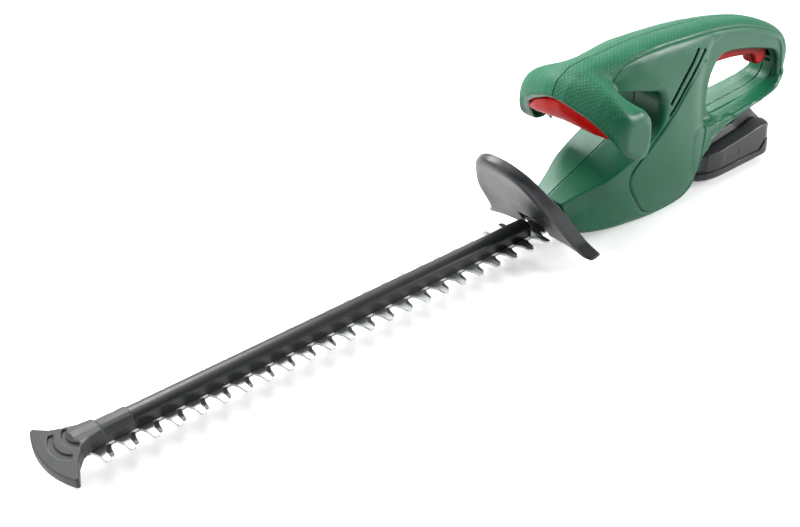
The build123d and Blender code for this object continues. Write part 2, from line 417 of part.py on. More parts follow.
# ---------------------------------------------------------------- battery
put("battery_rails", [box(412.0, 466.0, 14.3, 21.0, 28.3, 30.7), box(412.0, 466.0, -21.0, -14.3, 28.3, 30.7)])
LOW_SIDE = [(bx0, 2.0), (bx0 + 1.5, -12.5), (bx0 + 6, BATT_BOTTOM), (bx1 - 34, BATT_BOTTOM), (bx1 - 16, -12.0), (bx1 - 3, -1.0), (bx1, 2.0)]
LOW_SEC = mirror_pts([(33, BATT_BOTTOM), (36.5, -11), (bh, -4), (bh, 2.0)])
low_b = ext_z(B_PLAN, -20, 10) & ext_y(LOW_SIDE, -45, 45) & ext_x(LOW_SEC, 400, 520)
low_b -= box(bx0 + 4.5, bx1 - 5.5, -34.0, 34.0, -11.0, 2.0)
UP_SIDE = [(bx0, 2.0), (bx1, 2.0), (bx1, 22.0), (bx1 - 5, 31.5), (492, 35.0), (476, 31.2), (470, 27.0), (440, 24.4), (416, 22.0), (bx0 + 3.5, 17.0), (bx0, 11.0)]
UP_SEC = mirror_pts([(bh, 2.0), (bh, 15.0), (36.0, 18.5), (28.0, 24.5), (24.0, 36.0)])
up_b = ext_z(B_PLAN, 0, 40) & ext_y(UP_SIDE, -45, 45) & ext_x(UP_SEC, 400, 520)
up_b -= box(bx0 + 4.5, bx1 - 5.5, -34.0, 34.0, 2.0, 13.5)
B_SCREWS = [(bx0 + 2.5, -18.0), (bx0 + 2.5, 18.0), (bx1 - 2.8, -20.0), (bx1 - 2.8, 20.0)]
for x, y in B_SCREWS:
    low_b -= cyl((x, y, -20.0), 1.9, 12.0) + cyl((x, y, -8.0), 1.2, 10.0)
    up_b -= cyl((x, y, 2.0), 1.2, 6.0)
head = box(411.0, 470.5, -17.0, 17.0, 20.0, 35.0) - box(408, 467.5, 14.0, 20, 28.0, 31.0) - box(408, 467.5, -20, -14.0, 28.0, 31.0)
up_b += head
for y in (-9.0, 0.0, 9.0):
    up_b -= box(409, 424.0, y - 1.8, y + 1.8, 25.0, 35.0)
BTN = (484.0, 503.0, -11.0, 11.0)
up_b -= box(BTN[0] - 0.4, BTN[1] + 0.4, BTN[2] - 0.4, BTN[3] + 0.4, 24.0, 40.0)
put("battery_case_lower", biggest(low_b))
put("battery_case_upper", biggest(up_b))
put("battery_release_button", (box(BTN[0], BTN[1], BTN[2], BTN[3], 28.0, 40.0) & ext_y([(484, 27), (503, 27), (503, 34.0), (496, 36.6), (488, 36.6), (484, 34.6)], -20, 20)) - cyl((493.5, 0, 27), 3.6, 5.0))
put("release_spring", coil(493.5, 0, 24.05, 31.9, 2.7, 0.4, 5))
put("battery_cells", [cyl((bx0 + 15.4 + 19.0 * i, -29.0, 0.4), 9.0, 58.0, (0, 1, 0)) for i in range(5)])
put("battery_board", box(bx0 + 8, bx1 - 12, -28, 28, 10.4, 12.0))
put("battery_terminals", [box(417.6, 423.0, y + s * 0.55 - 0.15, y + s * 0.55 + 0.15, 25.0, 33.0) for y in (-9.0, 0.0, 9.0) for s in (-1, 1)])
put("battery_screws", [cyl((x, y, -8.0), 1.2, 15.0) + cyl((x, y, -9.4), 1.8, 1.4) for x, y in B_SCREWS])

# ---------------------------------------------------------------- export
bb = [1e9, 1e9, 1e9, -1e9, -1e9, -1e9]
for name, solids in NODES.items():
    moved = [s.moved(MOVE) for s in solids]
    for s in moved:
        b = s.bounding_box()
        bb = [min(bb[0], b.min.X), min(bb[1], b.min.Y), min(bb[2], b.min.Z), max(bb[3], b.max.X), max(bb[4], b.max.Y), max(bb[5], b.max.Z)]
    shape = moved[0] if len(moved) == 1 else Compound(children=moved)
    export_step(shape, os.path.join("parts", name + ".step"))
print("nodes", len(NODES), "box", [round(v, 2) for v in bb])
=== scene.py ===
import json
import math

import bpy
import numpy as np
import openvdb as vdb
from mathutils import Matrix, Vector


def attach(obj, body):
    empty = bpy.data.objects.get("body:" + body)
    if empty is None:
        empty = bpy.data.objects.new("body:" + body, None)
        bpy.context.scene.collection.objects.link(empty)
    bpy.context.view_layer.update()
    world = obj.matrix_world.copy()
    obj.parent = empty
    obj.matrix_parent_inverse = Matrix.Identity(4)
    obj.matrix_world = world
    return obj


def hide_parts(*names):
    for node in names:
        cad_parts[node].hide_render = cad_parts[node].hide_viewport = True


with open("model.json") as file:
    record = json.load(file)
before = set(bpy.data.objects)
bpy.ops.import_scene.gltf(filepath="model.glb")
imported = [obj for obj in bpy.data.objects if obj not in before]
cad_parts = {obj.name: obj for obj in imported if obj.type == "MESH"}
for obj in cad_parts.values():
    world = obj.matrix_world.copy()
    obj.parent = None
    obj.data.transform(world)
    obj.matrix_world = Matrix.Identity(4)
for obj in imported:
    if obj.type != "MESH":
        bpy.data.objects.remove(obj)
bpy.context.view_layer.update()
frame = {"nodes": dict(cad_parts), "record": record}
NODES = frame["nodes"]
# working axes in mm: x = 0 at the middle tooth, z = 0 on the comb's upper face
DX, DZ = -154.5, 20.0
scene = bpy.context.scene


def to_row(x, y, z):
    return ((x + DX) / 1000.0, y / 1000.0, (z + DZ) / 1000.0)


# ------------------------------------------------------------------ camera, light, floor
def camera():
    az, el, roll = math.radians(-37.752), math.radians(31.327), math.radians(-3.248)
    back = np.array([math.sin(az) * math.cos(el), -math.cos(az) * math.cos(el), math.sin(el)])
    right = np.array([math.cos(az), math.sin(az), 0.0])
    up = np.cross(back, right)
    r2 = math.cos(roll) * right + math.sin(roll) * up
    u2 = -math.sin(roll) * right + math.cos(roll) * up
    c = 54.07 * r2 + 49.156 * u2 + 1019.36 * back
    cam = bpy.data.cameras.new("camera")
    cam.lens = 1284.52 / 800.0 * 36.0
    cam.sensor_width = 36.0
    cam.clip_start = 0.01
    cam.clip_end = 50.0
    ob = bpy.data.objects.new("camera", cam)
    loc = to_row(*c)
    m = Matrix(((r2[0], u2[0], back[0], loc[0]), (r2[1], u2[1], back[1], loc[1]), (r2[2], u2[2], back[2], loc[2]), (0, 0, 0, 1)))
    ob.matrix_world = m
    scene.collection.objects.link(ob)
    scene.camera = ob


def area_light(name, loc, target, size, power, color=(1, 1, 1)):
    li = bpy.data.lights.new(name, "AREA")
    li.shape = "RECTANGLE"
    li.size, li.size_y = size
    li.energy = power
    li.color = color
    ob = bpy.data.objects.new(name, li)
    ob.location = loc
    d = Vector(target) - Vector(loc)
    ob.rotation_euler = d.to_track_quat("-Z", "Y").to_euler()
    scene.collection.objects.link(ob)


camera()
area_light("back_sheen", (0.02, 1.30, 1.35), (0.08, 0, 0.05), (1.1, 0.8), 38)
area_light("top", (-0.1, 0.1, 1.7), (0.0, 0, 0.05), (1.2, 0.8), 7)
area_light("left_soft", (-1.35, 0.35, 0.9), (0.1, 0, 0.05), (0.9, 0.9), 11)
area_light("back_right", (1.35, 1.1, 0.75), (0.15, 0, 0.08), (0.9, 0.7), 6)
area_light("near_right", (1.30, -0.95, 0.65), (0.2, 0, 0.07), (0.6, 0.5), 18)
world = bpy.data.worlds.new("world")
scene.world = world
world.use_nodes = True
wt = world.node_tree
bg = wt.nodes["Background"]
bg.inputs[0].default_value = (1, 1, 1, 1)
tc = wt.nodes.new("ShaderNodeTexCoord")
dot = wt.nodes.new("ShaderNodeVectorMath")
dot.operation = "DOT_PRODUCT"
dot.inputs[1].default_value = (-0.62, -0.78, 0.05)
wt.links.new(tc.outputs["Generated"], dot.inputs[0])
mr = wt.nodes.new("ShaderNodeMapRange")
for i, v in enumerate((-0.3, 0.8, 0.55, 0.03)):
    mr.inputs[i + 1].default_value = v
wt.links.new(dot.outputs["Value"], mr.inputs[0])
wt.links.new(mr.outputs[0], bg.inputs[1])
scene.view_settings.view_transform = "Standard"


# ------------------------------------------------------------------ materials
class Mat:
    """Small helper for building node materials."""

    def __init__(self, name):
        self.m = bpy.data.materials.new(name)
        self.m.use_nodes = True
        self.t = self.m.node_tree
        self.b = self.t.nodes["Principled BSDF"]

    def node(self, kind, **kw):
        n = self.t.nodes.new(kind)
        for k, v in kw.items():
            setattr(n, k, v)
        return n

    def link(self, a, b):
        self.t.links.new(a, b)

    def math(self, op, a, b=None, clamp=False):
        n = self.node("ShaderNodeMath", operation=op)
        n.use_clamp = clamp
        for i, v in enumerate((a, b)):
            if v is None:
                continue
            if isinstance(v, (int, float)):
                n.inputs[i].default_value = v
            else:
                self.link(v, n.inputs[i])
        return n.outputs[0]

    def coord(self):
        return self.node("ShaderNodeTexCoord").outputs["Object"]

    def noise(self, scale, detail=3.0, rough=0.5, vec=None):
        n = self.node("ShaderNodeTexNoise")
        n.inputs["Scale"].default_value = scale
        n.inputs["Detail"].default_value = detail
        n.inputs["Roughness"].default_value = rough
        self.link(vec if vec is not None else self.coord(), n.inputs["Vector"])
        return n.outputs[0]

    def ramp(self, fac, stops):
        n = self.node("ShaderNodeValToRGB")
        el = n.color_ramp.elements
        el[0].position, el[0].color = stops[0][0], (*stops[0][1], 1)
        el[1].position, el[1].color = stops[-1][0], (*stops[-1][1], 1)
        for p, c in stops[1:-1]:
            e = el.new(p)
            e.color = (*c, 1)
        self.link(fac, n.inputs[0])
        return n.outputs[0]

    def range(self, v, a, b, c, d):
        n = self.node("ShaderNodeMapRange")
        self.link(v, n.inputs[0])
        for i, q in enumerate((a, b, c, d)):
            n.inputs[i + 1].default_value = q
        return n.outputs[0]

    def bump(self, h, strength, dist, prev=None):
        n = self.node("ShaderNodeBump")
        n.inputs["Strength"].default_value = strength
        n.inputs["Distance"].default_value = dist
        self.link(h, n.inputs["Height"])
        if prev is not None:
            self.link(prev, n.inputs["Normal"])
        return n.outputs[0]


def hexrgb(r, g, b):
    f = lambda c: (c / 255.0 / 12.92) if c / 255.0 <= 0.04045 else ((c / 255.0 + 0.055) / 1.055) ** 2.4
    return (f(r), f(g), f(b))


def plastic(name, col, rough, grain=0.25, grain_scale=900.0, var=0.06, spec=0.5, dots=False, coat=0.0):
    a = Mat(name)
    c2 = tuple(min(1.0, v * (1 + var)) for v in col)
    c1 = tuple(v * (1 - var) for v in col)
    n1 = a.noise(14.0, 4.0, 0.6)
    base = a.ramp(n1, [(0.35, c1), (0.65, c2)])
    a.link(base, a.b.inputs["Base Color"])
    n2 = a.noise(grain_scale, 2.0, 0.6)
    a.link(a.range(a.noise(60.0, 3.0, 0.6), 0.3, 0.7, rough - 0.04, rough + 0.05), a.b.inputs["Roughness"])
    a.b.inputs["Specular IOR Level"].default_value = spec
    if coat:
        a.b.inputs["Coat Weight"].default_value = coat
        a.b.inputs["Coat Roughness"].default_value = 0.25
    out = a.bump(n2, grain, 0.0002)
    if dots:
        # staggered raised dots on the grip areas, laid out in a surface map stored on the mesh
        at = a.node("ShaderNodeAttribute")
        at.attribute_name = "grip_map"
        sep = a.node("ShaderNodeSeparateXYZ")
        a.link(at.outputs["Vector"], sep.inputs[0])
        pitch_u, pitch_v = 4.6, 4.2

        def cell(off):
            u = a.math("FRACT", a.math("ADD", a.math("DIVIDE", sep.outputs[0], pitch_u), off + 100.0))
            v = a.math("FRACT", a.math("ADD", a.math("DIVIDE", sep.outputs[1], pitch_v), off + 100.0))
            u = a.math("MULTIPLY", a.math("SUBTRACT", u, 0.5), pitch_u)
            v = a.math("MULTIPLY", a.math("SUBTRACT", v, 0.5), pitch_v)
            return a.math("SQRT", a.math("ADD", a.math("MULTIPLY", u, u), a.math("MULTIPLY", v, v)))

        d = a.math("MINIMUM", cell(0.0), cell(0.5))
        dot = a.range(d, 0.40, 0.95, 1.0, 0.0)
        h = a.math("MULTIPLY", dot, sep.outputs[2])
        out = a.bump(h, 0.7, 0.0003, out)
        # the soft grip zones are duller than the smooth panels
        rg = a.range(a.noise(60.0, 3.0, 0.6), 0.3, 0.7, rough - 0.04, rough + 0.05)
        a.link(a.math("ADD", rg, a.math("MULTIPLY", sep.outputs[2], 0.22)), a.b.inputs["Roughness"])
        # the raised dots are also lightened in base colour: a painted highlight on the dots
        dot_highlight_mix = a.node("ShaderNodeMix", data_type="RGBA")
        a.link(a.math("MULTIPLY", h, 0.38), dot_highlight_mix.inputs[0])
        a.link(base, dot_highlight_mix.inputs[6])
        dot_highlight_mix.inputs[7].default_value = (*[min(1, 0.05 + 2.0 * v) for v in col], 1)
        a.link(dot_highlight_mix.outputs[2], a.b.inputs["Base Color"])
    a.link(out, a.b.inputs["Normal"])
    return a.m


def metal(name, col, rough, aniso=0.0, brush=(1, 1, 1), scale=300.0, var=0.08, oil=False):
    a = Mat(name)
    a.b.inputs["Metallic"].default_value = 1.0
    mp = a.node("ShaderNodeMapping")
    mp.inputs["Scale"].default_value = brush
    a.link(a.coord(), mp.inputs["Vector"])
    n = a.noise(scale, 4.0, 0.65, mp.outputs[0])
    big = a.noise(25.0, 3.0, 0.6)
    c1 = tuple(v * (1 - var) for v in col)
    c2 = tuple(min(1, v * (1 + var)) for v in col)
    a.link(a.ramp(big, [(0.35, c1), (0.65, c2)]), a.b.inputs["Base Color"])
    a.link(a.range(n, 0.25, 0.75, rough - 0.06, rough + 0.08), a.b.inputs["Roughness"])
    a.link(a.bump(n, 0.12, 0.0002), a.b.inputs["Normal"])
    return a.m


GREEN = plastic("green_plastic", hexrgb(22, 108, 76), 0.38, grain=0.08, dots=True, var=0.03, spec=0.45)
BLACK = plastic("black_plastic", hexrgb(44, 47, 49), 0.42, grain=0.25, grain_scale=1400)
BAR_BLACK = plastic("bar_black", hexrgb(27, 30, 31), 0.36, grain=0.12, grain_scale=1500)
TIP_GREY = plastic("grey_plastic", hexrgb(52, 54, 56), 0.48, grain=0.55, grain_scale=1100)
GUARD = plastic("guard_black", hexrgb(50, 53, 56), 0.38, grain=0.12, grain_scale=1400)
BATT_DARK = plastic("battery_dark", hexrgb(40, 42, 45), 0.40, grain=0.25, grain_scale=1500)
BATT_GREY = plastic("battery_grey", hexrgb(60, 63, 67), 0.42, grain=0.25, grain_scale=1500)
RED = plastic("red_plastic", hexrgb(222, 14, 10), 0.40, grain=0.06, var=0.02, spec=0.18)
# darker copy of the red plastic for the trigger: painted shade for the trigger sitting inside the handle opening
RED_SHADED = plastic("red_plastic_shaded", hexrgb(205, 20, 16), 0.42, grain=0.06, var=0.02, spec=0.2)
BOARD = plastic("board_green", hexrgb(20, 96, 52), 0.35)
WRAP = plastic("cell_wrap", hexrgb(60, 110, 190), 0.3)
STEEL = metal("comb_steel", (0.46, 0.475, 0.48), 0.34, brush=(1, 12, 1))
# steel colour darkened with painted shade where the cutter lies beneath the comb
CUTTER_SHADED = metal("cutter_steel", (0.16, 0.165, 0.17), 0.42, brush=(12, 1, 1))
ZINC = metal("screw_steel", (0.62, 0.62, 0.60), 0.32)
GEARS = metal("gear_steel", (0.40, 0.39, 0.38), 0.35)
CAST = metal("die_cast", (0.62, 0.63, 0.64), 0.55, scale=900)
BRONZE = metal("bronze", (0.72, 0.48, 0.24), 0.35)
COPPER = metal("copper", (0.80, 0.38, 0.20), 0.30, brush=(1, 1, 14))
CAN = metal("motor_can_steel", (0.55, 0.56, 0.57), 0.35, brush=(1, 1, 10))
DARK = metal("magnet_dark", (0.06, 0.06, 0.065), 0.5)
CORE = metal("core_steel", (0.28, 0.28, 0.29), 0.5, brush=(1, 1, 30))

NODE_MAT = {
    "green_plastic": GREEN, "black_plastic": BLACK, "grey_plastic": TIP_GREY, "red_plastic": RED, "board_green": BOARD,
    "comb_steel": STEEL, "cutter_steel": CUTTER_SHADED, "screw_steel": ZINC, "gear_steel": GEARS, "die_cast": CAST, "bronze": BRONZE,
    "copper": COPPER, "motor_can_steel": CAN, "magnet_dark": DARK, "core_steel": CORE, "spring_steel": ZINC, "cell_wrap": WRAP,
}
slot_of = {s["node"]: s["material_slot"] for s in frame["record"]["subparts"]}
for name, ob in NODES.items():
    m = NODE_MAT[slot_of[name]]
    ob.data.materials.clear()
    ob.data.materials.append(m)

floor_mesh = bpy.data.meshes.new("floor")
floor_mesh.from_pydata([(-12, -12, 0), (12, -12, 0), (12, 12, 0), (-12, 12, 0)], [], [(0, 1, 2, 3)])
floor = bpy.data.objects.new("floor", floor_mesh)
scene.collection.objects.link(floor)
fm = Mat("floor_pale")
fm.b.inputs["Roughness"].default_value = 0.9
fm.b.inputs["Specular IOR Level"].default_value = 0.1
fm.b.inputs["Emission Strength"].default_value = 0.42
fm.b.inputs["Emission Color"].default_value = (1, 1, 1, 1)
fm.link(fm.ramp(fm.noise(3.0), [(0.3, (0.93, 0.93, 0.93)), (0.7, (0.95, 0.95, 0.95))]), fm.b.inputs["Base Color"])
floor_mesh.materials.append(fm.m)
floor.visible_diffuse = False


# ------------------------------------------------------------------ distance-field modelling
def smooth_curve(pts, closed=True, n=6, keep=()):
    """Catmull-Rom curve through 2-D points."""
    P = np.array(pts, float)
    N = len(P)
    out = []
    rng = range(N) if closed else range(N - 1)
    for i in rng:
        if closed:
            p0, p1, p2, p3 = P[(i - 1) % N], P[i], P[(i + 1) % N], P[(i + 2) % N]
        else:
            p0, p1, p2, p3 = P[max(i - 1, 0)], P[i], P[i + 1], P[min(i + 2, N - 1)]
        for k in range(n):
            t = k / n
            out.append(0.5 * ((2 * p1) + (-p0 + p2) * t + (2 * p0 - 5 * p1 + 4 * p2 - p3) * t * t + (-p0 + 3 * p1 - 3 * p2 + p3) * t ** 3))
    if not closed:
        out.append(P[-1])
    return np.array(out)


def poly_sd(U, W, pts):
    """Signed distance to a closed polygon, negative inside."""
    P = np.array(pts, float)
    d2 = np.full(np.broadcast(U, W).shape, 1e18)
    inside = np.zeros(d2.shape, bool)
    for i in range(len(P)):
        a, b = P[i - 1], P[i]
        ex, ey = b - a
        wx, wy = U - a[0], W - a[1]
        L = ex * ex + ey * ey
        if L < 1e-12:
            continue
        t = np.clip((wx * ex + wy * ey) / L, 0, 1)
        d2 = np.minimum(d2, (wx - t * ex) ** 2 + (wy - t * ey) ** 2)
        if abs(ey) > 1e-12:
            cond = ((a[1] <= W) & (b[1] > W)) | ((b[1] <= W) & (a[1] > W))
            inside ^= cond & (U < a[0] + (W - a[1]) / ey * ex)
    return np.where(inside, -np.sqrt(d2), np.sqrt(d2))


def line_d(U, W, pts):
    """Distance to an open polyline."""
    P = np.array(pts, float)
    d2 = np.full(np.broadcast(U, W).shape, 1e18)
    for i in range(1, len(P)):
        a, b = P[i - 1], P[i]
        ex, ey = b - a
        wx, wy = U - a[0], W - a[1]
        L = max(ex * ex + ey * ey, 1e-12)
        t = np.clip((wx * ex + wy * ey) / L, 0, 1)
        d2 = np.minimum(d2, (wx - t * ex) ** 2 + (wy - t * ey) ** 2)
    return np.sqrt(d2)


def smin(a, b, k):
    h = np.clip(0.5 + 0.5 * (b - a) / k, 0, 1)
    return b * (1 - h) + a * h - k * h * (1 - h)


def smax(a, b, k):
    return -smin(-a, -b, k)


def sstep(x, a, b):
    t = np.clip((x - a) / (b - a), 0, 1)
    return t * t * (3 - 2 * t)


def rbf(samples):
    """Thin-plate surface through (x, z, w) samples."""
    S = np.array(samples, float)
    P, w = S[:, :2] / 50.0, S[:, 2]
    def phi(r2):
        return 0.5 * r2 * np.log(np.maximum(r2, 1e-12))
    d2 = ((P[:, None] - P[None]) ** 2).sum(-1)
    n = len(P)
    A = np.zeros((n + 3, n + 3))
    A[:n, :n] = phi(d2) + np.eye(n) * 1e-3
    A[:n, n], A[:n, n + 1:] = 1, P
    A[n, :n], A[n + 1:, :n] = 1, P.T
    c = np.linalg.solve(A, np.concatenate([w, [0, 0, 0]]))
    def f(X, Z):
        u, v = X / 50.0, Z / 50.0
        out = c[n] + c[n + 1] * u + c[n + 2] * v
        for i in range(n):
            out = out + c[i] * phi((u - P[i, 0]) ** 2 + (v - P[i, 1]) ** 2)
        return out
    return f


def grid(b, h):
    """Open grid of a box in working axes: b = (x0, x1, y0, y1, z0, z1)."""
    ax = [np.arange(b[2 * i], b[2 * i + 1] + h * 0.5, h) for i in range(3)]
    return ax[0][:, None, None], ax[1][None, :, None], ax[2][None, None, :], ax


def normalise(F, h):
    g = np.gradient(F, h)
    n = np.sqrt(g[0] ** 2 + g[1] ** 2 + g[2] ** 2)
    return F / np.maximum(n, 0.15)


def mesh_from(name, F, ax, h, mat, mirror=False, smooth_angle=38):
    g = vdb.FloatGrid(5.0)
    g.copyFromArray(np.ascontiguousarray(F, np.float32))
    pts, quads = g.convertToQuads(0.0)
    P = np.array(pts, float) * h + np.array([ax[0][0], ax[1][0], ax[2][0]])
    if mirror:
        P[:, 1] *= -1
    Q = np.array(quads, int)
    # outward winding: test with the signed volume
    a, b, c, d = (P[Q[:, i]] for i in range(4))
    vol = (np.einsum("ij,ij->i", a, np.cross(b, c)) + np.einsum("ij,ij->i", a, np.cross(c, d))).sum()
    if vol < 0:
        Q = Q[:, ::-1]
    return add_mesh(name, P, Q, mat, smooth_angle)


def add_mesh(name, P, Q, mat, smooth_angle=38):
    me = bpy.data.meshes.new(name)
    V = np.array(P, float).copy()
    V[:, 0] += DX
    V[:, 2] += DZ
    V /= 1000.0
    me.from_pydata(V.tolist(), [], Q.tolist() if isinstance(Q, np.ndarray) else Q)
    me.validate()
    me.update()
    ob = bpy.data.objects.new(name, me)
    scene.collection.objects.link(ob)
    me.materials.append(mat)
    me.polygons.foreach_set("use_smooth", [True] * len(me.polygons))
    if smooth_angle:
        me.set_sharp_from_angle(angle=math.radians(smooth_angle))
    return ob


def place(ob, body, slot, *nodes):
    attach(ob, body)
    if nodes:
        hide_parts(*nodes)
    return ob


# ------------------------------------------------------------------ green housing
T_OUT = [(262, 137), (275, 139.6), (289.4, 141), (302, 142), (327, 143), (353, 143), (379, 141.4), (406.5, 139.2), (435, 135.6), (464, 130.4), (494, 122.8),
         (520, 113), (540, 102.6), (552.5, 92), (558.6, 80), (559.4, 68), (556.5, 57), (551, 47.5), (544, 42.5), (530, 41), (506, 37.5), (481, 32), (456, 27),
         (430, 22), (404, 18), (394, 34), (393, 66), (390, 96), (345, 108), (318, 114), (296, 118), (270, 118)]
D_IN = [(436, 48.5), (430.5, 60), (432.5, 78), (437, 90), (445, 98), (456, 100), (484, 95), (509, 88), (529, 81), (536.5, 72), (537.5, 61), (532, 51.5),
        (516, 46.2), (480, 43.8), (447, 42.6)]
POD_OUT = [(226, 17.0), (238.5, 25.2), (276, 40.5), (314, 56), (331, 62.5), (341, 69), (347, 78), (349.5, 90), (346, 99), (336, 103.5), (316, 109.5), (300, 113.5), (291.5, 117), (290.5, 124), (297, 131),
           (310, 136), (330, 138.4), (352, 138.6), (379, 137.2), (406, 134.8), (430, 131.0), (427, 113), (421, 92), (418, 66), (418, 50), (415, 40), (409, 22), (403.5, 3), (399, -9),
           (388, -17.0), (374, -20), (340, -20), (313, -17.6), (294, -15.4), (268, -11.8), (256, -9.6), (242, -6.5), (230, -2)]
W_SAMPLES = [
    (238, 22, 16.5), (242, 8, 18.5), (247, -4, 24), (250, 26, 20.5), (256, -8, 28.5), (256, 6, 25.5), (264, 30, 25.5), (264, 14, 25.0),
    (283, -13, 34.5), (283, 0, 33.6), (283, 16, 31), (283, 33, 33.0), (310, -16, 36), (310, 0, 37.4), (310, 22, 35.5), (310, 40, 36.4), (310, 52, 37),
    (335, -18, 37), (335, 0, 38.5), (335, 30, 38.6), (335, 52, 38.2), (338, 66, 36.5),
    (296, 118, 22), (300, 126, 21), (308, 133, 19.5), (305, 113, 26), (330, 106, 30), (330, 122, 27), (330, 134, 22), (345, 104, 32), (345, 120, 28),
    (357, -19, 37), (357, 0, 39), (357, 30, 39.5), (357, 60, 38.4), (356, 76, 36.2), (357, 90, 34.4), (357, 105, 31.6), (357, 122, 27), (357, 134, 22), (357, 142, 15),
    (380, -17, 36.5), (380, 0, 39), (380, 30, 39.3), (380, 60, 37.4), (380, 85, 33.8), (380, 108, 30), (380, 124, 25.8), (382, 133, 21.5), (382, 140, 15),
    (400, -6, 36), (400, 12, 37.2), (400, 30, 36.5), (400, 60, 34.5), (400, 85, 31.5), (402, 108, 28.8), (402, 122, 25.5), (404, 132, 20.5),
    (414, 24, 33), (414, 40, 31), (414, 60, 28), (415, 85, 26), (417, 108, 25.5), (420, 120, 23.8), (424, 130, 18.5),
    (430, 40, 26), (430, 60, 22), (430, 85, 20.5), (432, 108, 20.5), (436, 122, 19)]
CREASE = [(291, 109), (292.5, 115), (295.5, 122), (301, 129.5), (310, 134), (330, 136.6), (360, 136.3), (390, 134.2), (420, 131.2), (450, 126.6), (479, 120.5), (508, 110.8), (530, 101.2), (541, 92), (546, 80)]
PANEL = [(429.5, 119.5), (416, 108.6), (400.7, 100.5), (386, 92.2), (371, 81.1), (355, 70.5), (342.6, 61.3), (328.9, 52), (314, 39.8), (308.4, 28), (311.8, 13.4), (320.5, -3.0), (330, -11.4),
         (344, -14.6), (363.8, -15.2), (380, -12.8), (391, -6.0), (399, 6), (405, 20), (409, 36), (413, 58), (417, 84), (424, 108)]
RIM = [(416, 108.6), (429.5, 118.4), (439, 122.6), (451, 123.2), (478, 115.4), (508, 104.6), (528, 96.6), (537.5, 90.5), (541.5, 82), (543.8, 70), (544.6, 56.6)]
# bail sections: offset from the middle, then nine points from the front lip over the top to the rear lip
BAIL = [(0, [(247, 116.5), (245.6, 124.5), (252, 134), (266, 139.2), (278, 140.6), (290, 141.2), (306, 130), (304, 112), (275, 110)]),
        (12, [(248, 114.5), (246.5, 123), (253, 132.5), (267, 138.0), (278, 138.6), (289, 136.5), (300, 124), (303, 108), (275, 106)]),
        (22, [(250.5, 110), (249, 119.5), (255, 129.5), (267, 135.6), (278, 133.2), (288, 127.3), (296, 117), (301, 100), (276, 99)]),
        (32, [(253, 106), (251.3, 115), (257, 125.0), (267, 131.6), (278, 127.6), (288.5, 119.8), (297, 109), (301.5, 92), (277, 92)]),
        (42, [(256.5, 99.5), (254.2, 108.5), (258.5, 119.5), (267.5, 126.4), (278, 121.8), (289, 115.4), (298, 104), (302, 83), (279, 85)]),
        (50, [(264.0, 88), (257.6, 101.5), (260, 112.5), (268, 120.6), (279, 117), (290.3, 113), (299.5, 101), (302.5, 70), (283, 75)]),
        (56, [(275, 74), (262.0, 90), (262.0, 106), (270, 115.5), (280, 113), (291.5, 111), (301, 100), (302, 63.5), (289, 66.5)]),
        (61, [(281, 67), (265.5, 80), (264.5, 99), (271, 109.5), (281, 110), (292, 109), (302, 97), (300.5, 69), (291, 64)]),
        (67, [(283, 66.5), (268, 77.5), (267.5, 93), (274, 102), (283, 105), (292, 103.5), (300.5, 95), (299, 78), (291, 67)])]


